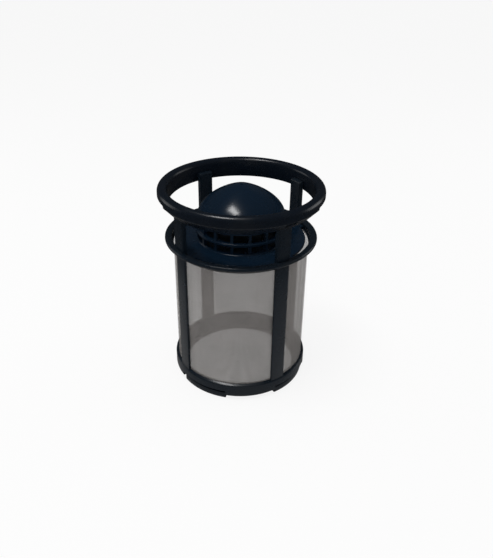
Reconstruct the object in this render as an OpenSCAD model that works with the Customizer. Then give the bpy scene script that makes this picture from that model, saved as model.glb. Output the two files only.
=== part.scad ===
// Cylinder filter of a dishwasher sump: a moulded cage with a fine mesh wall and floor,
// a clip-on handle ring and a lift-out coarse strainer cup.
// The origin is the middle of the plane that the four bayonet lugs stand on.

/* [Spacing] */
// Turn of the first post and rib from the front, in degrees
post_turn = 34; // [20:1:44]
// Running clearance of the lift-out cup around the posts
cup_clearance = 0.3; // [0.2:0.05:0.5]
// Clearance of a snap hook in its pocket
snap_clearance = 0.2; // [0.1:0.05:0.3]

/* [Bayonet lugs] */
// Height of a lug
lug_h = 3.9; // [3.6:0.1:5]
// Inset of the lugs from the base ring's edge
lug_inset = 1.4; // [1:0.1:1.8]
// Length of a lug, in degrees
lug_arc = 46; // [20:1:60]
// Turn of the middle of the first lug from the front, in degrees
lug_turn = 55; // [46:1:64]
// Height of the undercut over a lug
undercut_h = 2.3; // [1:0.1:3]
// Depth of the undercut over a lug
undercut_depth = 3; // [2.4:0.1:3.2]

/* [Base ring] */
// Reach of the base ring beyond the wall mesh
base_reach = 1.8; // [1.7:0.1:3]
// Width of the base ring's wall
base_w = 3.9; // [3.6:0.1:6]
// Height of the base ring's underside above the lugs' underside
base_drop = 3.6; // [2.8:0.1:3.6]
// Height of the base ring, up to its outer shoulder
base_h = 7.1; // [6:0.1:12]
// Rise of the bevel between the shoulder and the mesh
base_bevel_h = 1; // [0.5:0.1:2]
// Height of the spigot's and the floor plate's underside above the lugs' underside
spigot_drop = 0.4; // [0.2:0.1:1]
// Width of the floor plate around the hole that the floor mesh covers
floor_w = 3.7; // [3:0.1:12]
// Thickness of the floor plate
floor_t = 1; // [0.8:0.1:1.6]

/* [Mesh] */
// Outer radius of the wall mesh
mesh_r = 40.7; // [34:0.1:50]
// Height of the wall mesh
mesh_h = 80.5; // [50:0.5:120]
// Thickness of the mesh strips
mesh_t = 0.5; // [0.3:0.1:0.8]
// Depth that the mesh wall's foot stands in the base ring
mesh_seat = 0.7; // [0.4:0.1:1.5]
// Overlap of the floor mesh on the floor plate
floor_mesh_lap = 2; // [1:0.1:4]

/* [Ribs and collar] */
// Thickness of the ribs
rib_t = 1.5; // [0.8:0.1:1.7]
// Width of a rib, in degrees
rib_arc = 13; // [6:0.5:20]
// Depth of the groove that holds the top of the mesh wall
collar_seat = 0.9; // [0.5:0.1:1.5]
// Step of the collar's bore beyond the wall mesh
collar_step = 0.9; // [0.7:0.1:1.2]
// Reach of the collar's lip beyond the wall mesh
lip_reach = 5.1; // [4:0.1:8]
// Thickness of the lip at its edge
lip_t = 1.9; // [1.2:0.1:3]
// Height of the collar
collar_h = 4.9; // [4:0.1:8]

/* [Posts] */
// Inset of the posts' inner faces from the wall mesh
post_inset = 0.7; // [0.3:0.1:1.2]
// Thickness of a post
post_t = 2.9; // [2:0.1:3.5]
// Width of a post, in degrees
post_arc = 12.5; // [8:0.5:16]
// Height of the posts inside the handle ring
post_insert = 5.3; // [4:0.1:7]
// Height of a snap hook
hook_h = 2.4; // [1.5:0.1:3]
// Reach of a snap hook beyond its post
hook_reach = 2.2; // [1:0.1:2.8]
// Rounding of the inner edge of a post's top
post_round = 1.2; // [0.4:0.1:2]
// Width of a snap hook, in degrees
hook_arc = 7; // [4:0.5:10]
// Reach of the ledge under the cup, inwards from the posts
ledge_reach = 2.3; // [1.5:0.1:4]
// Thickness of the ledge under the cup
ledge_t = 1.8; // [1:0.1:3]

/* [Handle ring] */
// Radial width of the handle ring
ring_w = 6; // [6:0.1:9]
// Height of the finger gap between the collar and the handle ring
ring_rise = 19.6; // [15:0.1:40]
// Radius of the rounded crown
crown_r = 3; // [2:0.1:3]
// Height of the ring's funnel, from its lower lip to its top
ring_h = 11.8; // [11.4:0.1:15]
// Height of the upright outer wall, below the crown
ring_wall_h = 3.3; // [2.8:0.1:3.6]
// Radial width of the lower lip
ring_lip_w = 0.8; // [0.5:0.1:1.5]
// Gap between a post and the lower lip
ring_gap = 0.1; // [0.05:0.05:0.3]
// Rise of the outer wall's lower edge at the two finger grips
grip_rise = 2.4; // [1:0.1:3]
// Length of a finger grip, in degrees
grip_arc = 56; // [30:1:70]
// Wall between a hook's pocket and the blind slot outside it
slot_wall = 0.8; // [0.6:0.1:1]

/* [Coarse cup] */
// Gap between the disc's edge and the line of the wall mesh
disc_gap = 1.9; // [1.2:0.1:3]
// Thickness of the disc
disc_t = 1.6; // [1.2:0.1:3]
// Height of the disc's underside above the collar's mesh groove
disc_lift = 0.3; // [0.2:0.05:1]
// Length of the ears that flank a post, in degrees over both
ear_arc = 30; // [20:1:40]
// Width of the disc around the strainer
disc_w = 12.3; // [8:0.1:16]
// Thickness of the strainer wall and the dome
strainer_t = 2; // [1.2:0.1:3]
// Radius of the ring of drain slots in the strainer's floor, at their outer side
drain_r = 15.2; // [13:0.1:17]
// Width of the drain slots
drain_w = 1.2; // [0.8:0.1:3]
// Number of window places round the strainer
windows = 16; // [12:2:24]
// Width of a bar between two windows, in degrees
bar_arc = 3.6; // [2:0.1:6]
// Height of the sill under the lower row
sill_h = 1.1; // [0.5:0.1:3]
// Height of a window in the lower row
lower_window_h = 4.4; // [3:0.1:8]
// Height of the hoop between the rows
hoop_h = 1.7; // [1:0.1:3]
// Height of a window in the upper row
upper_window_h = 5.3; // [3:0.1:8]
// Height of the rim between the upper row and the dome
rim_h = 1.6; // [1:0.1:3]
// Reach of the hoop beyond the strainer wall
hoop_reach = 1; // [0.4:0.1:1.5]
// Height of the dome
dome_h = 19.8; // [12:0.1:24]
// Fullness of the dome's shoulder
dome_fullness = 1.92; // [1.4:0.01:3]
// Sharpness of the dome's top
dome_point = 1.17; // [1:0.01:2]
// Radius of the dome's rounded top
dome_cap_r = 6; // [3:0.5:10]
// Radius of the gate mark on top of the dome
gate_r = 1.1; // [0.8:0.1:2]
// Height of the gate mark
gate_h = 0.4; // [0.2:0.1:0.6]

/* [Hidden] */
$fn = 128;
plastic = [0.09, 0.12, 0.15];
mesh_grey = [0.66, 0.65, 0.63];
overlap = 0.01;
posts = 4;
quarter = 360 / posts;
// A slice a hair beyond a cut face
skin = 1;

base_top_z = base_drop + base_h + base_bevel_h;
mesh_foot_z = base_top_z - mesh_seat;
mesh_inner_r = mesh_r - mesh_t;
floor_z = spigot_drop + floor_t;
base_r = mesh_r + base_reach;
base_inner_r = base_r - base_w;
lug_r = base_r - lug_inset;
spigot_r = base_r - undercut_depth;
lug_inner_r = (base_inner_r + spigot_r) / 2;
floor_hole_r = base_inner_r - floor_w;
groove_z = mesh_foot_z + mesh_h;
collar_z = groove_z - collar_seat;
collar_top_z = collar_z + collar_h;
collar_inner_r = mesh_r + collar_step;
rib_r = mesh_r + rib_t;
lip_r = mesh_r + lip_reach;
lip_slope = 0.6;
disc_z = groove_z + disc_lift;
disc_top_z = disc_z + disc_t;
ledge_gap = 0.1;
ledge_z = disc_z - ledge_gap;
post_inner_r = mesh_r - post_inset;
post_r = post_inner_r + post_t;
ledge_r = post_inner_r - ledge_reach;
ring_lip_r = post_r + ring_gap;
ring_r = ring_lip_r + ring_w;
ring_base_z = collar_top_z + ring_rise;
ring_top_z = ring_base_z + ring_h;
post_top_z = ring_base_z + post_insert;
hook_z = post_top_z - hook_h;
hook_r = post_r + hook_reach;
crown_z = ring_top_z - crown_r;
wall_z = crown_z - ring_wall_h;
wall_bevel = 1;
slot_arc = hook_arc + 2;
ear_gap = 0.4;
disc_r = mesh_r - disc_gap;
ear_r = collar_inner_r - ear_gap;
notch_r = post_inner_r - cup_clearance;
notch_side = cup_clearance / post_inner_r * 180 / PI;
lower_z = disc_top_z + sill_h;
hoop_z = lower_z + lower_window_h;
upper_z = hoop_z + hoop_h;
rim_z = upper_z + upper_window_h;
dome_z = rim_z + rim_h;
strainer_r = disc_r - disc_w;
strainer_inner_r = strainer_r - strainer_t;
dome_r = strainer_r - 0.3;
dome_steps = 26;
cap_steps = 5;
window_pitch = 360 / windows;
window_arc = window_pitch - bar_arc;
// The strainer is closed beside its two clips: window places within this turn of the sides
upper_closed = 34;
lower_closed = 12;

// An upright sector of a tube, with its middle at a turn from the front
module sector(inner, outer, low, high, arc, turn) {
    rotate([0, 0, turn - 90 - arc / 2])
        rotate_extrude(angle = arc)
            translate([inner, low])
                square([outer - inner, high - low]);
}

// The places of what repeats at the four posts
module at_posts() {
    for (i = [0 : posts - 1])
        rotate([0, 0, i * quarter])
            children();
}

module base_ring() {
    rotate_extrude()
        polygon([
            [floor_hole_r, spigot_drop],
            [spigot_r, spigot_drop],
            [spigot_r, base_drop],
            [base_r, base_drop],
            [base_r, base_drop + base_h],
            [mesh_r, base_top_z],
            [mesh_r, mesh_foot_z],
            [base_inner_r, mesh_foot_z],
            [base_inner_r, floor_z],
            [floor_hole_r, floor_z]
        ]);
}

module undercut() {
    sector(spigot_r, base_r + skin, base_drop, lug_h + undercut_h, lug_arc, lug_turn);
}

module lug() {
    sector(lug_inner_r, lug_r, 0, lug_h, lug_arc, lug_turn);
}

module collar() {
    rotate_extrude()
        polygon([
            [mesh_r, collar_z],
            [rib_r, collar_z],
            [lip_r - lip_slope, collar_top_z - lip_t - lip_slope],
            [lip_r, collar_top_z - lip_t],
            [lip_r, collar_top_z - lip_slope],
            [lip_r - lip_slope, collar_top_z],
            [collar_inner_r, collar_top_z - lip_slope],
            [collar_inner_r, groove_z],
            [mesh_r, groove_z]
        ]);
}

// A post's section: upright, with its inner top edge rounded
function post_section(steps) = concat(
    [[post_inner_r, groove_z], [post_r, groove_z], [post_r, post_top_z]],
    [
        for (i = [0 : steps])
            let (a = 90 * i / steps)
                [post_inner_r + post_round * (1 - sin(a)), post_top_z - post_round * (1 - cos(a))]
    ]
);

module post() {
    rotate([0, 0, post_turn - 90 - post_arc / 2])
        rotate_extrude(angle = post_arc)
            polygon(post_section(5));
    sector(post_r - skin, hook_r, hook_z, post_top_z, hook_arc, post_turn);
}

module post_foot() {
    sector(ledge_r, collar_inner_r + overlap, ledge_z - ledge_t, ledge_z, post_arc, post_turn);
}

module rib() {
    sector(mesh_r, rib_r, mesh_foot_z, groove_z, rib_arc, post_turn);
}

// One moulding: base ring with its spigot and lugs, ribs, collar and posts
module frame() {
    color(plastic) {
        difference() {
            base_ring();
            at_posts() undercut();
        }
        collar();
        at_posts() {
            lug();
            rib();
            post();
            post_foot();
        }
    }
}

function crown_arc(steps) = [
    for (i = [0 : steps])
        [ring_r - crown_r + crown_r * cos(180 * i / steps), crown_z + crown_r * sin(180 * i / steps)]
];

module handle_ring() {
    color(plastic)
        difference() {
            rotate_extrude()
                polygon(concat(
                    [
                        [ring_lip_r, ring_base_z],
                        [ring_lip_r + ring_lip_w, ring_base_z],
                        [ring_r - wall_bevel, wall_z - wall_bevel],
                        [ring_r, wall_z]
                    ],
                    crown_arc(10)
                ));
            at_posts() {
                sector(ring_lip_r - skin, hook_r + snap_clearance, hook_z - snap_clearance,
                    post_top_z + snap_clearance, slot_arc, post_turn);
                sector(hook_r + snap_clearance + slot_wall, ring_r + skin, hook_z,
                    post_top_z + snap_clearance, slot_arc, post_turn);
            }
            for (side = [-1, 1])
                sector(ring_r - 2 * wall_bevel, ring_r + skin, wall_z - 2 * wall_bevel,
                    wall_z - wall_bevel + grip_rise, grip_arc, side * 90);
        }
}

// Fine mesh strip, rolled to a tube, with notches for the feet of the posts
module wall_mesh() {
    color(mesh_grey)
        difference() {
            rotate_extrude()
                translate([mesh_inner_r, mesh_foot_z])
                    square([mesh_t, groove_z - mesh_foot_z]);
            at_posts()
                sector(mesh_inner_r - skin, mesh_r + skin, ledge_z - ledge_t, groove_z + skin,
                    post_arc, post_turn);
        }
}

// Fine mesh disc on the floor plate
module floor_mesh() {
    color(mesh_grey)
        translate([0, 0, floor_z])
            cylinder(r = floor_hole_r + floor_mesh_lap, h = mesh_t);
}

// Radius of the dome at a share of its height, and its height at a radius
function dome_at(r, t) = r * pow(1 - pow(t, dome_fullness), 1 / dome_point);
function dome_rise(r, h, x) = h * pow(1 - pow(x / r, dome_point), 1 / dome_fullness);

// Slope of the dome where its rounded cap starts
function cap_slope(r, h) = (dome_rise(r, h, dome_cap_r - overlap) - dome_rise(r, h, dome_cap_r)) / overlap;
function cap_rise(r, h, x) =
    dome_rise(r, h, dome_cap_r) + cap_slope(r, h) * (pow(dome_cap_r, 2) - pow(x, 2)) / (2 * dome_cap_r);

function dome_profile(r, h) = concat(
    [
        for (i = [0 : dome_steps - 1])
            let (t = sin(90 * i / dome_steps))
                if (dome_at(r, t) > dome_cap_r) [dome_at(r, t), dome_z + h * t]
    ],
    [
        for (i = [0 : cap_steps])
            let (x = dome_cap_r * (1 - i / cap_steps))
                [x, dome_z + cap_rise(r, h, x)]
    ]
);

module windows_row(low, high, closed) {
    for (i = [0 : windows - 1])
        if (abs(abs(180 - i * window_pitch) - 90) > closed)
            sector(strainer_inner_r - skin, strainer_r + hoop_reach + skin, low, high,
                window_arc, i * window_pitch);
}

module strainer() {
    difference() {
        rotate_extrude()
            polygon(concat(
                [
                    [0, dome_z],
                    [0, disc_z],
                    [strainer_r, disc_z],
                    [strainer_r, hoop_z],
                    [strainer_r + hoop_reach, hoop_z],
                    [strainer_r + hoop_reach, upper_z],
                    [strainer_r, upper_z],
                    [strainer_r, rim_z]
                ],
                dome_profile(dome_r, dome_h)
            ));
        translate([0, 0, disc_top_z])
            cylinder(r = strainer_inner_r, h = dome_z - disc_top_z);
        rotate_extrude()
            polygon(concat(
                [[0, dome_z - overlap], [strainer_inner_r, dome_z - overlap]],
                dome_profile(dome_r - strainer_t, dome_h - strainer_t)
            ));
        for (i = [0 : windows - 1])
            sector(drain_r - drain_w, drain_r, disc_z - skin, disc_top_z + skin, window_arc,
                i * window_pitch);
        windows_row(lower_z, hoop_z, lower_closed);
        windows_row(upper_z, rim_z, upper_closed);
    }
}

// One moulding: disc, strainer wall and dome
module coarse_cup() {
    color(plastic) {
        strainer();
        difference() {
            union() {
                rotate_extrude()
                    translate([strainer_r - overlap, disc_z])
                        square([disc_r - strainer_r + overlap, disc_t]);
                at_posts()
                    sector(disc_r - skin, ear_r, disc_z, disc_top_z, ear_arc, post_turn);
            }
            at_posts()
                sector(notch_r, ear_r + skin, disc_z - skin, disc_top_z + skin,
                    post_arc + 2 * notch_side, post_turn);
        }
        translate([0, 0, dome_z + cap_rise(dome_r, dome_h, 0) - gate_h])
            cylinder(r = gate_r, h = 2 * gate_h);
    }
}

frame();
handle_ring();
wall_mesh();
floor_mesh();
coarse_cup();
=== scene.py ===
"""A dishwasher's cylinder filter: moulded cage, clip-on handle ring, lift-out coarse cup and fine mesh.

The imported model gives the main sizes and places. Every piece is modelled here at its real size, in metres,
and replaces the plain solid of the same name.
"""

from __future__ import annotations

import logging
import math
from collections.abc import Iterable, Sequence
from dataclasses import dataclass
from enum import Enum

import bpy
from mathutils import Matrix, Vector

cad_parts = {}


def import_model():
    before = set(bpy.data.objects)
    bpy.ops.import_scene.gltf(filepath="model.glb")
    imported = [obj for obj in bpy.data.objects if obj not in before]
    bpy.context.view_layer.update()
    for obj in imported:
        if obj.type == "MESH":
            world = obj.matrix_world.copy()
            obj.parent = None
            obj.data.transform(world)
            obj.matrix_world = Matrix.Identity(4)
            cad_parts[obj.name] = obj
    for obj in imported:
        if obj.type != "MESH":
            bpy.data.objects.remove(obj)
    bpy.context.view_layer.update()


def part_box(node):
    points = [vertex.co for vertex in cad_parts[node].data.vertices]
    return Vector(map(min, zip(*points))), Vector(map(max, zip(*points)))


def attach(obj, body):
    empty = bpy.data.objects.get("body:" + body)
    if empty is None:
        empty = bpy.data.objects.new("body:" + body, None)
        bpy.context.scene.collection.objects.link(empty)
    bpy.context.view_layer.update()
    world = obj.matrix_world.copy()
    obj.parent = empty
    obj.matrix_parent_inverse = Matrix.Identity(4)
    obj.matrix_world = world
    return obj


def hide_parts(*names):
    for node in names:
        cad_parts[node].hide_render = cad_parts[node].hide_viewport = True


LOG = logging.getLogger("filter")
MM = 0.001

# Facets all the way round a turned piece, segments of a rounded corner and of a softened edge
LATHE_STEPS = 240
CORNER_STEPS = 4
EDGE_STEPS = 2

# Edges sharper than the first angle are softened, and those sharper than the second stay sharp in shading
EDGE_ANGLE = math.radians(50)
SMOOTH_ANGLE = math.radians(32)

# Metres: vertices closer than this are one
MERGE_DISTANCE = 1e-6

# Millimetres: how far joined forms overlap, and how far a cutter reaches past what it cuts
SINK = 0.04
REACH = 1.0

# Millimetres: the roundings of moulded edges
CRISP = 0.1
FINE = 0.2
SOFT = 0.3
ROUNDED = 0.4
FULL = 0.5

# Posts, ribs and lugs stand four times round the axis
QUARTERS = 4


class Body(Enum):
    """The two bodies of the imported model."""

    CAGE = "cage"
    CUP = "cup"


class Slot(Enum):
    """The record's material slots."""

    CAGE = "cage_plastic"
    RING = "ring_plastic"
    WALL = "wall_mesh"
    FLOOR = "floor_mesh"
    CUP = "cup_plastic"


@dataclass(frozen=True)
class Corner:
    """A corner of a turned section: radius, height and rounding, in millimetres."""

    r: float
    z: float
    round: float = 0.0


class Bench:
    """Modelling moves that the pieces share. Turns are counted from the front, to the right."""

    @staticmethod
    def select_only(obj: bpy.types.Object) -> None:
        """Selects one object and makes it active.

        Args:
            obj: The object.
        """
        bpy.ops.object.select_all(action="DESELECT")
        obj.select_set(True)
        bpy.context.view_layer.objects.active = obj

    @staticmethod
    def edit(obj: bpy.types.Object) -> None:
        """Opens an object in edit mode with nothing selected.

        Args:
            obj: The object.
        """
        Bench.select_only(obj)
        bpy.ops.object.mode_set(mode="EDIT")
        bpy.ops.mesh.select_all(action="DESELECT")

    @staticmethod
    def close(obj: bpy.types.Object) -> None:
        """Leaves edit mode and puts the object's place into its mesh.

        Args:
            obj: The object.
        """
        bpy.ops.object.mode_set(mode="OBJECT")
        Bench.select_only(obj)
        bpy.ops.object.transform_apply(location=True, rotation=True, scale=True)

    @staticmethod
    def section(name: str, corners: Sequence[Corner], filled: bool) -> bpy.types.Object:
        """Draws a turned piece's section, one corner after the other, and rounds its corners.

        Args:
            name: Name of the new object.
            corners: The corners in order, in millimetres.
            filled: Whether the corners close on themselves and hold a face.

        Returns:
            The object, in edit mode, with everything selected.
        """
        bpy.ops.object.select_all(action="DESELECT")
        first = corners[0]
        bpy.ops.mesh.primitive_plane_add(size=MM, location=(first.r * MM, 0, first.z * MM))
        obj = bpy.context.object
        obj.name = name
        bpy.ops.object.mode_set(mode="EDIT")
        bpy.ops.mesh.merge(type="CENTER")
        for last, new in zip(corners, corners[1:]):
            step = ((new.r - last.r) * MM, 0, (new.z - last.z) * MM)
            bpy.ops.mesh.extrude_vertices_move(TRANSFORM_OT_translate={"value": step})
        if filled:
            bpy.ops.mesh.select_all(action="SELECT")
            bpy.ops.mesh.edge_face_add()
        for size in sorted({c.round for c in corners if c.round > 0}):
            Bench.round_corners(obj, [c for c in corners if c.round == size], size)
        bpy.ops.mesh.select_all(action="SELECT")
        return obj

    @staticmethod
    def round_corners(obj: bpy.types.Object, corners: Sequence[Corner], size: float) -> None:
        """Rounds those corners of an open section by a vertex bevel of that size, in millimetres.

        Args:
            obj: The section, in edit mode.
            corners: Those of its corners that are rounded.
            size: Size of the rounding in millimetres.
        """
        bpy.ops.mesh.select_all(action="DESELECT")
        bpy.ops.object.mode_set(mode="OBJECT")
        places = [Vector((c.r * MM, 0, c.z * MM)) for c in corners]
        for vertex in obj.data.vertices:
            world = obj.matrix_world @ vertex.co
            vertex.select = any((world - place).length < MERGE_DISTANCE for place in places)
        bpy.ops.object.mode_set(mode="EDIT")
        bpy.ops.mesh.bevel(offset=size * MM, segments=CORNER_STEPS, affect="VERTICES", clamp_overlap=True)

    @staticmethod
    def lathe(name: str, corners: Sequence[Corner], closed: bool = True) -> bpy.types.Object:
        """Turns a section all the way round the filter's axis.

        Args:
            name: Name of the new object.
            corners: The section's corners in millimetres.
            closed: Whether the section closes on itself. An open one starts and ends on the axis.

        Returns:
            The turned solid.
        """
        obj = Bench.section(name, corners, filled=closed)
        if closed:
            bpy.ops.mesh.delete(type="ONLY_FACE")
            bpy.ops.mesh.select_all(action="SELECT")
        bpy.ops.mesh.spin(steps=LATHE_STEPS, angle=-math.tau, center=(0, 0, 0), axis=(0, 0, 1))
        bpy.ops.mesh.select_all(action="SELECT")
        bpy.ops.mesh.remove_doubles(threshold=MERGE_DISTANCE)
        bpy.ops.mesh.normals_make_consistent(inside=False)
        Bench.close(obj)
        return obj

    @staticmethod
    def sector(name: str, corners: Sequence[Corner], arc: float, turn: float) -> bpy.types.Object:
        """Turns a section through an arc, as a closed solid.

        Args:
            name: Name of the new object.
            corners: The section's corners in millimetres.
            arc: Length of the arc in degrees.
            turn: Turn of the arc's middle from the front, in degrees.

        Returns:
            The solid.
        """
        obj = Bench.section(name, corners, filled=True)
        steps = max(2, round(LATHE_STEPS * arc / 360))
        bpy.ops.mesh.spin(steps=steps, angle=-math.radians(arc), center=(0, 0, 0), axis=(0, 0, 1))
        bpy.ops.mesh.select_all(action="SELECT")
        bpy.ops.mesh.remove_doubles(threshold=MERGE_DISTANCE)
        bpy.ops.mesh.normals_make_consistent(inside=False)
        Bench.close(obj)
        obj.matrix_world = Matrix.Rotation(math.radians(turn - 90 - arc / 2), 4, "Z")
        bpy.ops.object.transform_apply(location=True, rotation=True, scale=True)
        return obj

    @staticmethod
    def block(inner: float, outer: float, low: float, high: float) -> list[Corner]:
        """The four corners of a rectangular section, in millimetres."""
        return [Corner(inner, low), Corner(outer, low), Corner(outer, high), Corner(inner, high)]

    @staticmethod
    def soften(obj: bpy.types.Object, width: float) -> None:
        """Rounds an object's sharp edges by a width in millimetres.

        Args:
            obj: The object.
            width: Width of the rounding in millimetres.
        """
        Bench.select_only(obj)
        bpy.ops.object.modifier_add(type="BEVEL")
        bevel = obj.modifiers[-1]
        bevel.width = width * MM
        bevel.segments = EDGE_STEPS
        bevel.limit_method = "ANGLE"
        bevel.angle_limit = EDGE_ANGLE
        bpy.ops.object.modifier_apply(modifier=bevel.name)

    @staticmethod
    def combine(obj: bpy.types.Object, tools: Iterable[bpy.types.Object], operation: str) -> None:
        """Adds solids to an object, or cuts them out of it, and removes them.

        Args:
            obj: The object that changes.
            tools: The solids.
            operation: UNION or DIFFERENCE.
        """
        for tool in tools:
            Bench.select_only(obj)
            bpy.ops.object.modifier_add(type="BOOLEAN")
            change = obj.modifiers[-1]
            change.operation = operation
            change.solver = "EXACT"
            change.object = tool
            bpy.ops.object.modifier_apply(modifier=change.name)
            bpy.data.objects.remove(tool)

    @staticmethod
    def finish(obj: bpy.types.Object) -> None:
        """Merges what lies together and shades smoothly across soft edges.

        Args:
            obj: The object.
        """
        Bench.edit(obj)
        bpy.ops.mesh.select_all(action="SELECT")
        bpy.ops.mesh.remove_doubles(threshold=MERGE_DISTANCE)
        Bench.close(obj)
        bpy.ops.object.shade_smooth_by_angle(angle=SMOOTH_ANGLE)


@dataclass
class Sizes:
    """The main sizes of the filter in millimetres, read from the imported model.

    Attributes:
        mesh_r: Outer radius of the wall mesh.
        mesh_foot: Height of the wall mesh's foot.
        mesh_top: Height of the wall mesh's top.
        lip_r: Outer radius of the collar's lip.
        post_top: Height of the posts' top.
        ring_r: Outer radius of the handle ring.
        ring_low: Height of the handle ring's lower lip.
        ring_top: Height of the handle ring's top.
        floor_low: Height of the floor mesh's underside.
        floor_top: Height of the floor mesh's top.
        floor_r: Radius of the floor mesh.
        disc_low: Height of the cup disc's underside.
        post_turn: Turn of the first post from the front, in degrees.
    """

    mesh_r: float
    mesh_foot: float
    mesh_top: float
    lip_r: float
    post_top: float
    ring_r: float
    ring_low: float
    ring_top: float
    floor_low: float
    floor_top: float
    floor_r: float
    disc_low: float
    post_turn: float = 34.0

    @classmethod
    def from_frame(cls) -> Sizes:
        """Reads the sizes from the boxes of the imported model's nodes.

        Returns:
            The sizes.
        """
        low: dict[str, Vector] = {}
        high: dict[str, Vector] = {}
        for node in ("frame", "handle_ring", "wall_mesh", "floor_mesh", "coarse_cup"):
            a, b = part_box(node)
            low[node], high[node] = Vector(a) / MM, Vector(b) / MM
        return cls(
            mesh_r=high["wall_mesh"].x,
            mesh_foot=low["wall_mesh"].z,
            mesh_top=high["wall_mesh"].z,
            lip_r=high["frame"].x,
            post_top=high["frame"].z,
            ring_r=high["handle_ring"].x,
            ring_low=low["handle_ring"].z,
            ring_top=high["handle_ring"].z,
            floor_low=low["floor_mesh"].z,
            floor_top=high["floor_mesh"].z,
            floor_r=high["floor_mesh"].x,
            disc_low=low["coarse_cup"].z,
        )

    def post_turns(self) -> list[float]:
        """Turns of the four posts from the front, in degrees."""
        return [self.post_turn + 360 / QUARTERS * i for i in range(QUARTERS)]


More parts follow.
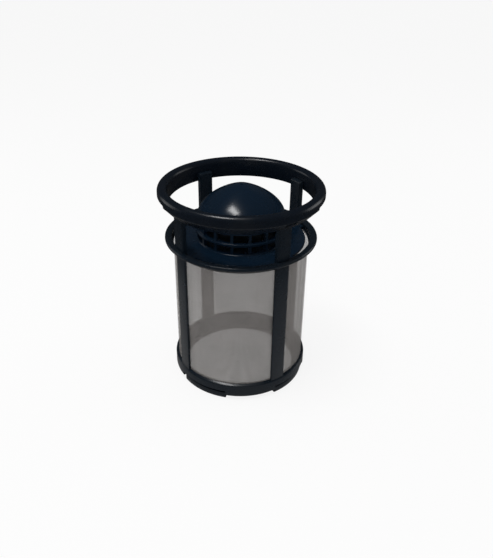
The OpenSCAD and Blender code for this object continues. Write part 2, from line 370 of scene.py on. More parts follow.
@dataclass
class Cage:
    """The frame: base ring with bayonet lugs, ribs, collar and hooked posts, in one moulding.

    Lengths are in millimetres and arcs in degrees.

    Attributes:
        sizes: The filter's main sizes.
        base_reach: How far the base ring stands out from the wall mesh.
        base_w: Radial width of the base ring.
        base_low: Height of the base ring's underside.
        bevel_h: Height of the bevel on the base ring.
        seat: Depth of the base ring's groove for the wall mesh.
        spigot_low: Height of the underside of spigot and floor plate.
        floor_w: Radial width of the floor plate, inside the base ring.
        lug_h: Height of the lugs' top.
        lug_inset: How far the lugs stay inside the base ring's outline.
        lug_arc: Length of a lug.
        lug_turn: Turn of the first lug's middle from the front.
        undercut_h: Height of the undercut over a lug.
        undercut_depth: Depth of that undercut.
        rib_t: Thickness of a rib.
        rib_arc: Width of a rib.
        collar_seat: Overlap of collar and wall mesh.
        collar_step: How far the collar's bore stands out from the wall mesh.
        collar_h: Height of the collar.
        lip_t: Height of the collar's upright rim.
        lip_slope: Fall and width of the slopes over and under that rim.
        lip_round: Rounding of that rim.
        post_inset: How far a post's inner face lies inside the wall mesh.
        post_t: Radial thickness of a post.
        post_arc: Width of a post.
        post_round: Rounding of a post's top on its inner side.
        hook_h: Height of a post's hook.
        hook_reach: How far the hook stands out from its post.
        hook_arc: Width of the hook.
        hook_root: How far the hook reaches into its post.
        hook_round: Rounding of the hook's top.
        ledge_reach: How far the ledge under the cup stands inward from its post.
        ledge_t: Thickness of the ledge.
        ledge_gap: Gap between ledge and cup.
        edge: Softening of the edges of lugs, ribs and posts.
    """

    sizes: Sizes
    base_reach: float = 1.8
    base_w: float = 3.9
    base_low: float = 3.6
    bevel_h: float = 1.0
    seat: float = 0.7
    spigot_low: float = 0.4
    floor_w: float = 3.7
    lug_h: float = 3.9
    lug_inset: float = 1.4
    lug_arc: float = 46.0
    lug_turn: float = 55.0
    undercut_h: float = 2.3
    undercut_depth: float = 3.0
    rib_t: float = 1.5
    rib_arc: float = 13.0
    collar_seat: float = 0.9
    collar_step: float = 0.9
    collar_h: float = 4.9
    lip_t: float = 1.9
    lip_slope: float = 0.6
    lip_round: float = 0.55
    post_inset: float = 0.7
    post_t: float = 2.9
    post_arc: float = 12.5
    post_round: float = 1.2
    hook_h: float = 2.4
    hook_reach: float = 2.2
    hook_arc: float = 7.0
    hook_root: float = 1.0
    hook_round: float = 0.8
    ledge_reach: float = 2.3
    ledge_t: float = 1.8
    ledge_gap: float = 0.1
    edge: float = 0.3

    def base(self) -> bpy.types.Object:
        """Turns the base ring, its spigot and its floor plate, and cuts the undercuts over the lugs.

        Returns:
            The solid, without its lugs.
        """
        s = self.sizes
        outer = s.mesh_r + self.base_reach
        spigot = outer - self.undercut_depth
        inner = outer - self.base_w
        hole = inner - self.floor_w
        top = s.mesh_foot + self.seat
        ring = Bench.lathe(
            "frame_base",
            [
                Corner(hole, self.spigot_low, FINE),
                Corner(spigot, self.spigot_low, SOFT),
                Corner(spigot, self.base_low),
                Corner(outer, self.base_low, ROUNDED),
                Corner(outer, top - self.bevel_h, ROUNDED),
                Corner(s.mesh_r + SINK, top, CRISP),
                Corner(s.mesh_r + SINK, s.mesh_foot),
                Corner(inner, s.mesh_foot, SOFT),
                Corner(inner, s.floor_low, FULL),
                Corner(hole, s.floor_low, FINE),
            ],
        )
        cut = Bench.block(spigot + SINK, outer + REACH, self.base_low - REACH, self.lug_h + self.undercut_h)
        cuts = [Bench.sector("undercut", cut, self.lug_arc, t) for t in self.lug_turns()]
        Bench.combine(ring, cuts, "DIFFERENCE")
        return ring

    def lug_turns(self) -> list[float]:
        """Turns of the lugs' middles from the front, in degrees."""
        return [self.lug_turn + 360 / QUARTERS * i for i in range(QUARTERS)]

    def lugs(self) -> list[bpy.types.Object]:
        """Turns the four bayonet lugs.

        Returns:
            The lugs.
        """
        outer = self.sizes.mesh_r + self.base_reach
        inner = outer - (self.base_w + self.undercut_depth) / 2
        section = Bench.block(inner, outer - self.lug_inset, 0, self.lug_h)
        made = []
        for turn in self.lug_turns():
            lug = Bench.sector("lug", section, self.lug_arc, turn)
            Bench.soften(lug, self.edge)
            made.append(lug)
        return made

    def collar(self) -> bpy.types.Object:
        """Turns the collar with its flared lip.

        Returns:
            The collar.
        """
        s = self.sizes
        low = s.mesh_top - self.collar_seat
        top = low + self.collar_h
        bore = s.mesh_r + self.collar_step
        slope = self.lip_slope
        return Bench.lathe(
            "frame_collar",
            [
                Corner(s.mesh_r + SINK / 2, low, SOFT / 2),
                Corner(s.mesh_r + self.rib_t, low, SOFT),
                Corner(s.lip_r - slope, top - self.lip_t - slope, self.lip_round),
                Corner(s.lip_r, top - self.lip_t, self.lip_round),
                Corner(s.lip_r, top - slope, self.lip_round),
                Corner(s.lip_r - slope, top, self.lip_round),
                Corner(bore, top - slope, SOFT),
                Corner(bore, s.mesh_top),
                Corner(s.mesh_r + SINK / 2, s.mesh_top, CRISP),
            ],
        )

    def ribs(self) -> list[bpy.types.Object]:
        """Turns the four ribs that stand outside the mesh.

        Returns:
            The ribs.
        """
        s = self.sizes
        low, high = s.mesh_foot + 2 * SINK, s.mesh_top - self.collar_seat / 2
        section = Bench.block(s.mesh_r + SINK, s.mesh_r + self.rib_t - SINK, low, high)
        made = []
        for turn in s.post_turns():
            rib = Bench.sector("rib", section, self.rib_arc, turn)
            Bench.soften(rib, self.edge)
            made.append(rib)
        return made

    def posts(self) -> list[bpy.types.Object]:
        """Turns the posts, their snap hooks and the ledges that carry the cup.

        Returns:
            The posts and hooks.
        """
        s = self.sizes
        inner = s.mesh_r - self.post_inset
        outer = inner + self.post_t
        ledge = s.disc_low - self.ledge_gap
        bore = s.mesh_r + self.collar_step
        post_section = [
            Corner(inner - self.ledge_reach, ledge - self.ledge_t),
            Corner(bore - self.collar_step / 2, ledge - self.ledge_t),
            Corner(bore - self.collar_step / 2, s.mesh_top - self.collar_seat / 2),
            Corner(outer, s.mesh_top + self.lip_t),
            Corner(outer, s.post_top),
            Corner(inner, s.post_top, self.post_round),
            Corner(inner, ledge),
            Corner(inner - self.ledge_reach, ledge),
        ]
        hook_low = s.post_top - self.hook_h
        hook_section = [
            Corner(outer - self.hook_root, hook_low),
            Corner(outer + self.hook_reach, hook_low),
            Corner(outer + self.hook_reach, s.post_top - SINK, self.hook_round),
            Corner(outer - self.edge, s.post_top - SINK),
            Corner(outer - self.hook_root, s.post_top - self.hook_root),
        ]
        made = []
        for turn in s.post_turns():
            post = Bench.sector("post", post_section, self.post_arc, turn)
            Bench.soften(post, self.edge)
            hook = Bench.sector("hook", hook_section, self.hook_arc, turn)
            Bench.soften(hook, self.edge / 2)
            made += [post, hook]
        return made

    def build(self) -> bpy.types.Object:
        """Joins all of the frame's features into one solid.

        Returns:
            The finished frame.
        """
        frame = self.base()
        Bench.combine(frame, [*self.lugs(), *self.ribs(), self.collar(), *self.posts()], "UNION")
        frame.name = "frame_moulding"
        Bench.finish(frame)
        return frame


@dataclass
class HandleRing:
    """The ring that the fingers hold, clipped on the four hooked posts.

    Lengths are in millimetres and arcs in degrees.

    Attributes:
        sizes: The filter's main sizes.
        cage: The frame that carries it.
        gap: Gap between a post and the lower lip.
        crown_r: Radius of the rounded crown.
        crown_steps: Facets over the crown.
        wall_h: Height of the upright outer wall.
        wall_bevel: Bevel under that wall.
        lip_w: Radial width of the lower lip.
        grip_rise: Rise of the wall's lower edge at a finger grip.
        grip_arc: Length of a finger grip.
        grip_turns: Turns of the finger grips from the front.
        slot_wall: Wall between a hook's pocket and the blind slot outside it.
        slot_arc: Width of pockets and slots.
        snap: Play of a hook in its pocket.
    """

    sizes: Sizes
    cage: Cage
    gap: float = 0.1
    crown_r: float = 3.0
    crown_steps: int = 16
    wall_h: float = 3.3
    wall_bevel: float = 1.0
    lip_w: float = 0.8
    grip_rise: float = 2.4
    grip_arc: float = 56.0
    grip_turns: tuple[float, float] = (90.0, -90.0)
    slot_wall: float = 0.8
    slot_arc: float = 9.0
    snap: float = 0.2

    def body(self) -> bpy.types.Object:
        """Turns the ring's funnel with its rounded crown.

        Returns:
            The ring, not yet cut.
        """
        s = self.sizes
        crown_z = s.ring_top - self.crown_r
        wall_low = crown_z - self.wall_h
        lip = s.mesh_r - self.cage.post_inset + self.cage.post_t + self.gap
        angles = [math.pi * i / self.crown_steps for i in range(self.crown_steps + 1)]
        arc = [
            Corner(
                s.ring_r - self.crown_r + self.crown_r * math.cos(angle),
                crown_z + self.crown_r * math.sin(angle),
            )
            for angle in angles
        ]
        return Bench.lathe(
            "handle_ring_moulding",
            [
                Corner(lip, s.ring_low, FINE),
                Corner(lip + self.lip_w, s.ring_low, SOFT),
                Corner(s.ring_r - self.wall_bevel, wall_low - self.wall_bevel, ROUNDED),
                Corner(s.ring_r, wall_low, ROUNDED),
                *arc,
            ],
        )

    def cuts(self) -> list[bpy.types.Object]:
        """The pockets for the hooks, the slots over them and the two finger grips.

        Returns:
            Their cutters.
        """
        s = self.sizes
        wall_low = s.ring_top - self.crown_r - self.wall_h
        post_outer = s.mesh_r - self.cage.post_inset + self.cage.post_t
        hook_r = post_outer + self.cage.hook_reach + self.snap
        hook_low = s.post_top - self.cage.hook_h
        lip = post_outer + self.gap
        pocket = Bench.block(lip - REACH, hook_r, hook_low - self.snap, s.post_top + self.snap)
        slot = Bench.block(hook_r + self.slot_wall, s.ring_r + REACH, hook_low, s.post_top + self.snap)
        grip = Bench.block(
            s.ring_r - 2 * self.wall_bevel,
            s.ring_r + REACH,
            wall_low - 2 * self.wall_bevel,
            wall_low - self.wall_bevel + self.grip_rise,
        )
        made = [Bench.sector("pocket", pocket, self.slot_arc, t) for t in s.post_turns()]
        made += [Bench.sector("slot", slot, self.slot_arc, t) for t in s.post_turns()]
        made += [Bench.sector("grip", grip, self.grip_arc, t) for t in self.grip_turns]
        return made

    def build(self) -> bpy.types.Object:
        """Turns the ring and cuts what its posts and the fingers need.

        Returns:
            The finished ring.
        """
        ring = self.body()
        Bench.combine(ring, self.cuts(), "DIFFERENCE")
        Bench.finish(ring)
        return ring


@dataclass
class CoarseCup:
    """The lift-out cup: disc with ears, barred strainer wall and dome.

    Lengths are in millimetres and arcs in degrees.

    Attributes:
        sizes: The filter's main sizes.
        cage: The frame that carries it.
        clearance: Gap between the disc and a post.
        disc_gap: Gap between the disc's edge and the line of the wall mesh.
        disc_t: Thickness of the disc.
        ear_gap: Gap between an ear and the collar's bore.
        ear_arc: Length of the ears at a post, over both.
        ear_root: How far the ears reach into the disc.
        ear_edge: Softening of the ears' edges.
        disc_w: Width of the disc round the strainer.
        wall_t: Thickness of strainer wall and dome.
        windows: Number of window places.
        bar_arc: Width of the bar between two windows.
        sill_h: Height of the sill under the lower windows.
        lower_h: Height of the lower windows.
        hoop_h: Height of the hoop between the rows.
        upper_h: Height of the upper windows.
        rim_h: Height of the rim over the upper windows.
        hoop_reach: How far the hoop stands out.
        dome_h: Height of the dome.
        dome_inset: Step from strainer wall to dome.
        dome_steps: Facets from the dome's foot to its top.
        dome_spread: Power that makes those facets about equally long.
        fullness: Fullness of the dome's shoulder.
        point: Steepness of the dome's flank.
        cap_r: Radius of the rounded cap that ends the dome.
        gate_r: Radius of the gate mark.
        gate_h: Height of the gate mark.
        gate_edge: Softening of the gate mark.
        drain_r: Outer radius of the ring of drain slots in the floor.
        drain_w: Width of the drain slots.
        upper_closed: Upper window places within this turn of the sides are closed.
        lower_closed: Lower window places within this turn of the sides are closed.
    """

    sizes: Sizes
    cage: Cage
    clearance: float = 0.3
    disc_gap: float = 1.9
    disc_t: float = 1.6
    ear_gap: float = 0.4
    ear_arc: float = 30.0
    ear_root: float = 2.0
    ear_edge: float = 0.25
    disc_w: float = 12.3
    wall_t: float = 2.0
    windows: int = 16
    bar_arc: float = 3.6
    sill_h: float = 1.1
    lower_h: float = 4.4
    hoop_h: float = 1.7
    upper_h: float = 5.3
    rim_h: float = 1.6
    hoop_reach: float = 1.0
    dome_h: float = 19.8
    dome_inset: float = 0.3
    dome_steps: int = 40
    dome_spread: float = 2 / 3
    fullness: float = 1.92
    point: float = 1.17
    cap_r: float = 6.0
    gate_r: float = 1.1
    gate_h: float = 0.4
    gate_edge: float = 0.15
    drain_r: float = 15.2
    drain_w: float = 1.2
    upper_closed: float = 34.0
    lower_closed: float = 12.0

    def rise(self, radius: float, height: float, x: float) -> float:
        """Height of the dome over its foot, at a distance from the axis.

        Args:
            radius: Radius of the dome's foot in millimetres.
            height: Height that the dome would have with a point.
            x: Distance from the axis in millimetres.

        Returns:
            The height in millimetres.
        """

        def shoulder(at: float) -> float:
            """Height of the pointed dome at a distance from the axis."""
            return height * (1 - (at / radius) ** self.point) ** (1 / self.fullness)

        if x >= self.cap_r:
            return shoulder(x)
        step = 0.01
        slope = (shoulder(self.cap_r - step) - shoulder(self.cap_r)) / step
        return shoulder(self.cap_r) + slope * (self.cap_r**2 - x**2) / (2 * self.cap_r)

    def dome(self, radius: float, height: float, foot: float) -> list[Corner]:
        """The dome's outline from its foot to its top.

        Args:
            radius: Radius of the dome's foot in millimetres.
            height: Height that the dome would have with a point.
            foot: Height of the dome's foot.

        Returns:
            The corners of the outline.
        """
        turns = [math.pi / 2 * i / self.dome_steps for i in range(self.dome_steps)]
        reach = [radius * math.cos(turn) ** self.dome_spread for turn in turns] + [0.0]
        return [Corner(x, foot + self.rise(radius, height, x)) for x in reach]

    def levels(self) -> dict[str, float]:
        """Heights of the disc's top, both window rows, the rim and the dome's foot.

        Returns:
            The heights in millimetres, by name.
        """
        disc = self.sizes.disc_low + self.disc_t
        lower = disc + self.sill_h
        hoop = lower + self.lower_h
        upper = hoop + self.hoop_h
        rim = upper + self.upper_h
        dome = rim + self.rim_h
        return {"disc": disc, "lower": lower, "hoop": hoop, "upper": upper, "rim": rim, "dome": dome}

    def hollow(self) -> bpy.types.Object:
        """Turns the cutter for the inside of strainer and dome.

        Returns:
            The cutter.
        """
        z = self.levels()
        wall = self.sizes.mesh_r - self.disc_gap - self.disc_w
        inside = self.dome(wall - self.dome_inset - self.wall_t, self.dome_h - self.wall_t, z["dome"])
        foot = [Corner(0, z["disc"]), Corner(wall - self.wall_t, z["disc"], ROUNDED)]
        return Bench.lathe("hollow", [*foot, Corner(wall - self.wall_t, z["dome"]), *inside], closed=False)

    def shell(self) -> bpy.types.Object:
        """Turns disc, strainer wall and dome in one.

        Returns:
            The solid, not yet hollow.
        """
        s = self.sizes
        z = self.levels()
        disc_r = s.mesh_r - self.disc_gap
        wall = disc_r - self.disc_w
        outside = self.dome(wall - self.dome_inset, self.dome_h, z["dome"])
        return Bench.lathe(
            "coarse_cup_moulding",
            [
                Corner(0, s.disc_low),
                Corner(disc_r, s.disc_low, SOFT),
                Corner(disc_r, z["disc"], SOFT),
                Corner(wall, z["disc"], FULL),
                Corner(wall, z["hoop"], CRISP),
                Corner(wall + self.hoop_reach, z["hoop"], SOFT),
                Corner(wall + self.hoop_reach, z["upper"], SOFT),
                Corner(wall, z["upper"], CRISP),
                Corner(wall, z["rim"]),
                *outside,
            ],
            closed=False,
        )

    def row_cuts(self, section: list[Corner], closed: float | None = None) -> list[bpy.types.Object]:
        """Turns the cutters for a row of openings.

        Args:
            section: Section of a cutter.
            closed: Places within this turn of the two sides stay closed. None leaves no place closed.

        Returns:
            The cutters.
        """
        pitch = 360 / self.windows
        made = []
        for i in range(self.windows):
            from_side = abs(abs(180 - i * pitch) - 90)
            if closed is None or from_side > closed:
                made.append(Bench.sector("window", section, pitch - self.bar_arc, i * pitch))
        return made

    def openings(self) -> list[bpy.types.Object]:
        """Cutters for both rows of windows and the drain slots in the floor.

        Returns:
            The cutters.
        """
        z = self.levels()
        wall = self.sizes.mesh_r - self.disc_gap - self.disc_w
        inner, outer = wall - self.wall_t - REACH, wall + self.hoop_reach + REACH
        lower = Bench.block(inner, outer, z["lower"], z["hoop"])
        upper = Bench.block(inner, outer, z["upper"], z["rim"])
        drain = Bench.block(
            self.drain_r - self.drain_w, self.drain_r, self.sizes.disc_low - REACH, z["disc"] + REACH
        )
        return [
            *self.row_cuts(lower, self.lower_closed),
            *self.row_cuts(upper, self.upper_closed),
            *self.row_cuts(drain),
        ]

    def ears(self) -> list[bpy.types.Object]:
        """The ears that flank the posts.

        Returns:
            One ring sector for each post, not yet notched.
        """
        s = self.sizes
        outer = s.mesh_r + self.cage.collar_step - self.ear_gap
        low, high = s.disc_low + SINK, s.disc_low + self.disc_t - SINK
        section = Bench.block(s.mesh_r - self.disc_gap - self.ear_root, outer, low, high)
        made = []
        for turn in s.post_turns():
            ear = Bench.sector("ear", section, self.ear_arc, turn)
            Bench.soften(ear, self.ear_edge)
            made.append(ear)
        return made

    def notches(self) -> list[bpy.types.Object]:
        """Cutters for the clearance around the posts.

        Returns:
            The cutters.
        """
        s = self.sizes
        inner = s.mesh_r - self.cage.post_inset
        side = math.degrees(self.clearance / inner)
        low, high = s.disc_low - REACH, s.disc_low + self.disc_t + REACH
        section = Bench.block(inner - self.clearance, s.mesh_r + 2 * REACH, low, high)
        return [Bench.sector("notch", section, self.cage.post_arc + 2 * side, t) for t in s.post_turns()]

    def gate(self) -> bpy.types.Object:
        """The gate mark on top of the dome.

        Returns:
            A short cylinder, half sunk in the dome.
        """
        wall = self.sizes.mesh_r - self.disc_gap - self.disc_w - self.dome_inset
        top = self.levels()["dome"] + self.rise(wall, self.dome_h, 0)
        bpy.ops.object.select_all(action="DESELECT")
        bpy.ops.mesh.primitive_cylinder_add(
            radius=self.gate_r * MM, depth=2 * self.gate_h * MM, location=(0, 0, top * MM)
        )
        mark = bpy.context.object
        bpy.ops.object.transform_apply(location=True, rotation=True, scale=True)
        Bench.soften(mark, self.gate_edge)
        return mark

    def build(self) -> bpy.types.Object:
        """Turns the shell, cuts its openings and adds ears and gate mark.

        Returns:
            The finished cup.
        """
        cup = self.shell()
        Bench.combine(cup, [self.hollow(), *self.openings()], "DIFFERENCE")
        Bench.combine(cup, [*self.ears(), self.gate()], "UNION")
        Bench.combine(cup, self.notches(), "DIFFERENCE")
        Bench.finish(cup)
        return cup


@dataclass
class MeshWall:
    """The fine mesh sleeve.

    Attributes:
        sizes: The filter's main sizes.
        cage: The frame that holds it.
        thickness: Thickness of the mesh in millimetres.
    """

    sizes: Sizes
    cage: Cage
    thickness: float = 0.5

    def build(self) -> bpy.types.Object:
        """Turns the sleeve and notches it for the posts' feet.

        Returns:
            The finished sleeve.
        """
        s = self.sizes
        sleeve = Bench.lathe(
            "wall_mesh_sleeve", Bench.block(s.mesh_r - self.thickness, s.mesh_r, s.mesh_foot, s.mesh_top)
        )
        low = s.disc_low - self.cage.ledge_gap - self.cage.ledge_t
        section = Bench.block(s.mesh_r - self.thickness - REACH, s.mesh_r + REACH, low, s.mesh_top + REACH)
        cuts = [Bench.sector("notch", section, self.cage.post_arc, t) for t in s.post_turns()]
        Bench.combine(sleeve, cuts, "DIFFERENCE")
        Bench.finish(sleeve)
        return sleeve


@dataclass
class MeshFloor:
    """The fine mesh disc on the floor plate.

    Attributes:
        sizes: The filter's main sizes.
        edge: Softening of its edge in millimetres.
    """

    sizes: Sizes
    edge: float = 0.15

    def build(self) -> bpy.types.Object:
        """Makes the disc, with its edge rounded.

        Returns:
            The finished disc.
        """
        s = self.sizes
        bpy.ops.object.select_all(action="DESELECT")
        bpy.ops.mesh.primitive_cylinder_add(
            vertices=LATHE_STEPS,
            radius=s.floor_r * MM,
            depth=(s.floor_top - s.floor_low) * MM,
            location=(0, 0, (s.floor_top + s.floor_low) / 2 * MM),
        )
        disc = bpy.context.object
        disc.name = "floor_mesh_disc"
        bpy.ops.object.transform_apply(location=True, rotation=True, scale=True)
        Bench.soften(disc, self.edge)
        Bench.finish(disc)
        return disc


class Signal:
    """A value in a shader, with arithmetic that adds Math nodes."""

    def __init__(self, graph: Graph, socket: bpy.types.NodeSocket) -> None:
        """Wraps an output socket of a node in a graph."""
        self.graph = graph
        self.socket = socket

    def _math(self, operation: str, *values: Signal | float) -> Signal:
        """Adds a Math node for this value and others."""
        return self.graph.node("ShaderNodeMath", {"operation": operation}, dict(enumerate((self, *values))))

    def __add__(self, other: Signal | float) -> Signal:
        """Adds."""
        return self._math("ADD", other)

    __radd__ = __add__

    def __mul__(self, other: Signal | float) -> Signal:
        """Multiplies."""
        return self._math("MULTIPLY", other)

    __rmul__ = __mul__

    def __sub__(self, other: Signal | float) -> Signal:
        """Subtracts a value from this one."""
        return self._math("SUBTRACT", other)

    def __rsub__(self, other: float) -> Signal:
        """Subtracts this value from a number."""
        return self.graph.node("ShaderNodeMath", {"operation": "SUBTRACT"}, {0: other, 1: self})

    def arctan2(self, other: Signal) -> Signal:
        """Angle of the point whose second coordinate is this value."""
        return self._math("ARCTAN2", other)

    def wave(self, period: float) -> Signal:
        """A sine of this value, from 0 to 1, that repeats over a period."""
        return self._math("MULTIPLY", math.tau / period)._math("SINE") * 0.5 + 0.5

    def maximum(self, other: Signal) -> Signal:
        """The larger of two values."""
        return self._math("MAXIMUM", other)

    def smooth(self, low: float, high: float) -> Signal:
        """0 below low, 1 above high and a soft step between.

        Args:
            low: Value at which the step starts.
            high: Value at which it ends.

        Returns:
            The stepped signal.
        """
        settings = {"interpolation_type": "SMOOTHSTEP"}
        inputs = {"Value": self, "From Min": low, "From Max": high}
        return self.graph.node("ShaderNodeMapRange", settings, inputs)


class Graph:
    """The nodes of one material or of the world."""

    def __init__(self, tree: bpy.types.NodeTree) -> None:
        """Takes the node tree that it adds to."""
        self.tree = tree

    def node(
        self, kind: str, settings: dict[str, object], inputs: dict[int | str, object], output: int | str = 0
    ) -> Signal:
        """Adds a node.

        Args:
            kind: The node's type.
            settings: Its settings, made first.
            inputs: Values or signals for its input sockets, by place or name.
            output: Place or name of the output that is wanted.

        Returns:
            The output as a signal.
        """
        made = self.tree.nodes.new(kind)
        for key, value in settings.items():
            setattr(made, key, value)
        for key, value in inputs.items():
            if isinstance(value, Signal):
                self.tree.links.new(value.socket, made.inputs[key])
            else:
                made.inputs[key].default_value = value
        return Signal(self, made.outputs[output])

    def show(self, signal: Signal, output: str) -> None:
        """Links a shader to the surface of an output node."""
        self.tree.links.new(signal.socket, self.tree.nodes[output].inputs["Surface"])


class Shop(Graph):
    """One material and the nodes in it."""

    def __init__(self, name: str) -> None:
        """Starts a material with a Principled shader.

        Args:
            name: Name of the material.
        """
        self.material = bpy.data.materials.new(name)
        self.material.use_nodes = True
        super().__init__(self.material.node_tree)
        self.shader = self.tree.nodes["Principled BSDF"]

    def place(self) -> Signal:
        """The point on the piece, in metres."""
        return self.node("ShaderNodeTexCoord", {}, {}, "Object")

    def noise(self, size: float, detail: float) -> Signal:
        """Noise from 0 to 1 whose features are about a size in millimetres across."""
        inputs = {"Vector": self.place(), "Scale": 1 / (size * MM), "Detail": detail, "Roughness": 0.5}
        return self.node("ShaderNodeTexNoise", {}, inputs)

    def mix(self, share: Signal, first: Sequence[float], second: Sequence[float]) -> Signal:
        """A colour between two, by a share. The Mix node's colours are its sockets 6 and 7, and output 2."""
        inputs = {0: share, 6: (*first, 1), 7: (*second, 1)}
        return self.node("ShaderNodeMix", {"data_type": "RGBA"}, inputs, 2)

    def bump(self, height: Signal, strength: float, depth: float) -> Signal:
        """A bump from a height from 0 to 1, whose full depth is in millimetres."""
        return self.node(
            "ShaderNodeBump", {}, {"Height": height, "Strength": strength, "Distance": depth * MM}, "Normal"
        )

    def feed(self, name: str, value: Signal | float | Sequence[float]) -> None:
        """Sets or links an input of the Principled shader.

        Args:
            name: Name of the input.
            value: A number, a colour or a signal.
        """
        if isinstance(value, Signal):
            self.tree.links.new(value.socket, self.shader.inputs[name])
        else:
            self.shader.inputs[name].default_value = value


@dataclass(frozen=True)
class GlossyPlastic:
    """Injection-moulded plastic with a gloss skin: fine flow marks, faint ripple and dulled patches.

    Attributes:
        name: Name of the material.
        colour: Main colour, linear.
        pale: Colour where the skin is slightly worn or dusty, linear.
        gloss: Roughness of the clean skin.
        dull: Roughness of the dulled patches.
        patch_size: Size of the dulled patches in millimetres.
        patch_edge: Levels of noise between which a patch begins and is full.
        patch_pale: How pale a full patch is.
        speck_size: Size of the specks in millimetres.
        speck_edge: Levels of noise between which a speck begins and is full.
        speck_pale: How pale a full speck is.
        speck_dull: Range of roughness that the specks give.
        wave_size: Length of the ripple in millimetres.
        wave_share: Share of the ripple in the bump. The specks have the rest.
        bump_strength: Strength of the bump.
        bump_depth: Depth of the bump in millimetres.
        ior: Index of refraction.
        sheen: Level of the mirror light.
    """

    name: str
    colour: tuple[float, float, float]
    pale: tuple[float, float, float]
    gloss: float
    dull: float
    patch_size: float = 14.0
    patch_edge: tuple[float, float] = (0.45, 0.75)
    patch_pale: float = 0.6
    speck_size: float = 0.9
    speck_edge: tuple[float, float] = (0.62, 0.8)
    speck_pale: float = 0.2
    speck_dull: float = 0.04
    wave_size: float = 5.0
    wave_share: float = 0.7
    bump_strength: float = 0.35
    bump_depth: float = 0.06
    ior: float = 1.49
    sheen: float = 0.5

    def make(self) -> bpy.types.Material:
        """Builds the material.

        Returns:
            The material.
        """
        shop = Shop(self.name)
        clouds = shop.noise(self.patch_size, 3.0)
        specks = shop.noise(self.speck_size, 2.0)
        haze = clouds.smooth(*self.patch_edge)
        worn = haze * self.patch_pale + specks.smooth(*self.speck_edge) * self.speck_pale
        shop.feed("Base Color", shop.mix(worn, self.colour, self.pale))
        clean = self.gloss - self.speck_dull / 2
        shop.feed("Roughness", haze * (self.dull - self.gloss) + specks * self.speck_dull + clean)
        ripple = shop.noise(self.wave_size, 1.0) * self.wave_share + specks * (1 - self.wave_share)
        shop.feed("Normal", shop.bump(ripple, self.bump_strength, self.bump_depth))
        shop.feed("IOR", self.ior)
        shop.feed("Specular IOR Level", self.sheen)
        return shop.material


@dataclass(frozen=True)
class WovenMesh:
    """Fine woven nylon: two sets of threads with open holes between them.

    Attributes:
        name: Name of the material.
        thread: Colour of the threads, linear.
        shade: Colour of their darker patches, linear.
        pitch: Distance from thread to thread in millimetres.
        cover: Mean opacity of one face of the sheet.
        flat: Whether the sheet lies flat and not round the axis.
        round_r: Radius in millimetres at which the threads of a round sheet are counted.
        patch_size: Size of the darker patches in millimetres.
        patch_edge: Levels of noise between which a patch begins and is full.
        thread_edge: Heights of the weave between which a hole ends and a thread is full.
        thread_gain: How much more opaque a thread is than a hole.
        thread_mean: Mean of what the threads add to the opacity.
        bump_strength: Strength of the bump.
        bump_depth: Depth of the bump in millimetres.
        roughness: Roughness of the threads.
        sheen: Level of the mirror light.
    """

    name: str
    thread: tuple[float, float, float]
    shade: tuple[float, float, float]
    pitch: float
    cover: float
    flat: bool
    round_r: float = 40.7
    patch_size: float = 22.0
    patch_edge: tuple[float, float] = (0.3, 0.7)
    thread_edge: tuple[float, float] = (0.55, 0.95)
    thread_gain: float = 0.5
    thread_mean: float = 0.27
    bump_strength: float = 0.5
    bump_depth: float = 0.05
    roughness: float = 0.62
    sheen: float = 0.3

    def threads(self, shop: Shop) -> Signal:
        """Height of the weave, from 0 in a hole to 1 on a thread.

        Args:
            shop: The material that gets the nodes.

        Returns:
            The height.
        """
        parts = shop.place()
        axes = [shop.node("ShaderNodeSeparateXYZ", {}, {0: parts}, i) for i in range(3)]
        period = self.pitch * MM
        if self.flat:
            return axes[0].wave(period).maximum(axes[1].wave(period))
        count = round(math.tau * self.round_r * MM / period)
        around = axes[1].arctan2(axes[0]).wave(math.tau / count)
        return around.maximum(axes[2].wave(period))

    def make(self) -> bpy.types.Material:
        """Builds the material.

        Returns:
            The material.
        """
        shop = Shop(self.name)
        weave = self.threads(shop)
        clouds = shop.noise(self.patch_size, 2.0)
        shop.feed("Base Color", shop.mix(clouds.smooth(*self.patch_edge), self.thread, self.shade))
        open_cover = self.cover - self.thread_mean
        shop.feed("Alpha", weave.smooth(*self.thread_edge) * self.thread_gain + open_cover)
        shop.feed("Normal", shop.bump(weave, self.bump_strength, self.bump_depth))
        shop.feed("Roughness", self.roughness)
        shop.feed("Specular IOR Level", self.sheen)
        return shop.material


@dataclass(frozen=True)
class Lamp:
    """A soft rectangular lamp.

    Attributes:
        name: Its name.
        place: Its place in metres.
        size: Its width and height in metres.
        power: Its power in watts.
    """

    name: str
    place: tuple[float, float, float]
    size: tuple[float, float]
    power: float

    def hang(self, aim: tuple[float, float, float]) -> None:
        """Adds the lamp to the scene, facing a point.

        Args:
            aim: The point in metres.
        """
        data = bpy.data.lights.new(self.name, "AREA")
        data.shape = "RECTANGLE"
        data.size, data.size_y = self.size
        data.energy = self.power
        obj = bpy.data.objects.new(self.name, data)
        bpy.context.scene.collection.objects.link(obj)
        obj.location = self.place
        obj.rotation_euler = (Vector(aim) - Vector(self.place)).to_track_quat("-Z", "Y").to_euler()


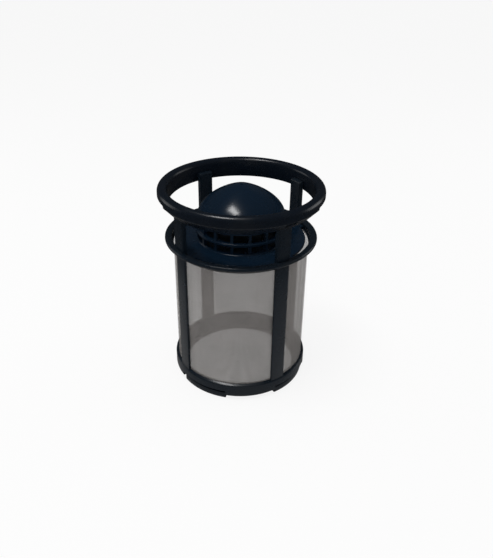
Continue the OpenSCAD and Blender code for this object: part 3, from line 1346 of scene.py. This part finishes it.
@dataclass
class Studio:
    """The camera, the floor and the lamps.

    Attributes:
        eye: Place of the camera in metres.
        yaw: Turn of the view to the right, in degrees.
        pitch: Tilt of the view down, in degrees.
        roll: Turn of the picture, in degrees.
        focus: Focal length in pixels of the photograph.
        picture_h: Height of the photograph in pixels.
        sensor: Width of the camera's sensor in millimetres.
        nearest: Nearest distance that the camera shows, in metres.
        aim: The point that the lamps face, in metres.
        ambient: Light of the room on the filter.
        reflected: Light of the room in the filter's reflections.
        table_shine: Light of the table near the filter in the filter's reflections.
        shine_r: Distances from the axis in metres between which that light fades out.
        table_size: Side of the table in metres.
        table_white: Grey level of the table.
        table_rough: Roughness of the table.
        glow: Light of the table to the camera.
        glow_share: Share of that light. The rest shows the filter's shadow.
    """

    eye: tuple[float, float, float] = (0.0, -0.3364, 0.25918)
    yaw: float = 0.63
    pitch: float = 30.29
    roll: float = 0.87
    focus: float = 617.0
    picture_h: float = 558.0
    sensor: float = 36.0
    nearest: float = 0.01
    aim: tuple[float, float, float] = (0.0, 0.0, 0.11)
    ambient: float = 0.45
    reflected: float = 0.03
    table_shine: float = 0.22
    shine_r: tuple[float, float] = (0.10, 0.24)
    table_size: float = 8.0
    table_white: float = 0.8
    table_rough: float = 0.9
    glow: float = 1.08
    glow_share: float = 0.8

    def camera(self) -> None:
        """Puts the camera where the photograph was taken from."""
        yaw, pitch, roll = (math.radians(a) for a in (self.yaw, self.pitch, self.roll))
        ahead = Vector((math.sin(yaw) * math.cos(pitch), math.cos(yaw) * math.cos(pitch), -math.sin(pitch)))
        level = Vector((math.cos(yaw), -math.sin(yaw), 0))
        up = level.cross(ahead)
        right = level * math.cos(roll) + up * math.sin(roll)
        top = up * math.cos(roll) - level * math.sin(roll)
        data = bpy.data.cameras.new("camera")
        data.sensor_width = self.sensor
        data.lens = self.sensor * self.focus / self.picture_h
        data.clip_start = self.nearest
        obj = bpy.data.objects.new("camera", data)
        bpy.context.scene.collection.objects.link(obj)
        turn = Matrix((right, top, -ahead)).transposed().to_4x4()
        obj.matrix_world = Matrix.Translation(self.eye) @ turn
        bpy.context.scene.camera = obj

    def light(self) -> None:
        """Hangs the lamps and sets the soft light of the room."""
        for lamp in LAMPS:
            lamp.hang(self.aim)
        self.room()

    def room(self) -> None:
        """Makes the room white to the camera, dim all round and dark in reflections."""
        world = bpy.data.worlds.new("room")
        bpy.context.scene.world = world
        world.use_nodes = True
        graph = Graph(world.node_tree)
        seen = graph.node("ShaderNodeBackground", {}, {"Color": (self.ambient, self.ambient, self.ambient, 1)})
        for ray, level in (("Is Glossy Ray", self.reflected), ("Is Camera Ray", 1.0)):
            mask = graph.node("ShaderNodeLightPath", {}, {}, ray)
            other = graph.node("ShaderNodeBackground", {}, {"Color": (level, level, level, 1)})
            seen = graph.node("ShaderNodeMixShader", {}, {0: mask, 1: seen, 2: other})
        graph.show(seen, "World Output")

    def floor(self) -> None:
        """Lays the white table, bright to the camera and keeping the filter's shadow."""
        bpy.ops.object.select_all(action="DESELECT")
        bpy.ops.mesh.primitive_plane_add(size=self.table_size)
        table = bpy.context.object
        table.name = "table"
        shop = Shop("white_table")
        shop.feed("Base Color", (self.table_white, self.table_white, self.table_white, 1))
        shop.feed("Roughness", self.table_rough)
        glow, close, distant = (
            shop.node("ShaderNodeEmission", {}, {"Color": (1, 1, 1, 1), "Strength": strength})
            for strength in (self.glow, self.table_shine, self.reflected)
        )
        spread = shop.node("ShaderNodeVectorMath", {"operation": "LENGTH"}, {0: shop.place()}, "Value")
        near = 1 - spread.smooth(*self.shine_r)
        shine = shop.node("ShaderNodeMixShader", {}, {0: near, 1: distant, 2: close})
        seen = shop.node("ShaderNodeLightPath", {}, {}, "Is Camera Ray")
        mirrored = shop.node("ShaderNodeLightPath", {}, {}, "Is Glossy Ray")
        plain = Signal(shop, shop.shader.outputs[0])
        inner = shop.node("ShaderNodeMixShader", {}, {0: mirrored, 1: plain, 2: shine})
        outer = shop.node("ShaderNodeMixShader", {}, {0: seen * self.glow_share, 1: inner, 2: glow})
        shop.show(outer, "Material Output")
        table.data.materials.append(shop.material)


CAGE_PLASTIC = GlossyPlastic("cage_gloss", (0.007, 0.013, 0.021), (0.012, 0.018, 0.026), 0.24, 0.38)
RING_PLASTIC = GlossyPlastic("ring_gloss", (0.005, 0.009, 0.016), (0.009, 0.013, 0.020), 0.25, 0.36)
CUP_PLASTIC = GlossyPlastic("cup_gloss", (0.005, 0.015, 0.031), (0.008, 0.019, 0.036), 0.20, 0.30)
WALL_WEAVE = WovenMesh("wall_weave", (0.43, 0.405, 0.39), (0.38, 0.36, 0.345), 0.5, 0.43, False)
FLOOR_WEAVE = WovenMesh("floor_weave", (0.33, 0.315, 0.305), (0.28, 0.27, 0.26), 0.5, 0.46, True)

LAMPS = (
    Lamp("key", (-0.20, -0.14, 0.86), (0.32, 0.14), 2.0),
    Lamp("left", (-0.75, 0.25, 0.15), (0.4, 0.5), 0.6),
    Lamp("right", (0.75, 0.25, 0.15), (0.4, 0.5), 0.9),
)


def install(
    piece: bpy.types.Object, node: str, body: Body, finish: GlossyPlastic | WovenMesh
) -> None:
    """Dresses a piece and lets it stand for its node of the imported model.

    Args:
        piece: The finished piece.
        node: The node that it replaces.
        body: The body that it moves with.
        finish: Its finish.
    """
    piece.data.materials.clear()
    piece.data.materials.append(finish.make())
    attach(piece, body.value)
    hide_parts(node)
    LOG.info("%s: %d faces", piece.name, len(piece.data.polygons))


def corners(bounds: Sequence[Sequence[float]]) -> list[list[float]]:
    """The two corners of a box as plain lists."""
    return [[float(v) for v in corner] for corner in bounds]


def main() -> None:
    """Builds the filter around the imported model, then the studio."""
    logging.basicConfig(level=logging.INFO, format="%(message)s")
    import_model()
    bpy.context.scene.view_settings.view_transform = "Standard"
    sizes = Sizes.from_frame()
    studio = Studio()
    studio.camera()
    cage = Cage(sizes)
    install(cage.build(), "frame", Body.CAGE, CAGE_PLASTIC)
    install(HandleRing(sizes, cage).build(), "handle_ring", Body.CAGE, RING_PLASTIC)
    install(MeshWall(sizes, cage).build(), "wall_mesh", Body.CAGE, WALL_WEAVE)
    install(MeshFloor(sizes).build(), "floor_mesh", Body.CAGE, FLOOR_WEAVE)
    install(CoarseCup(sizes, cage).build(), "coarse_cup", Body.CUP, CUP_PLASTIC)
    studio.floor()
    studio.light()


if __name__ == "__main__":
    main()
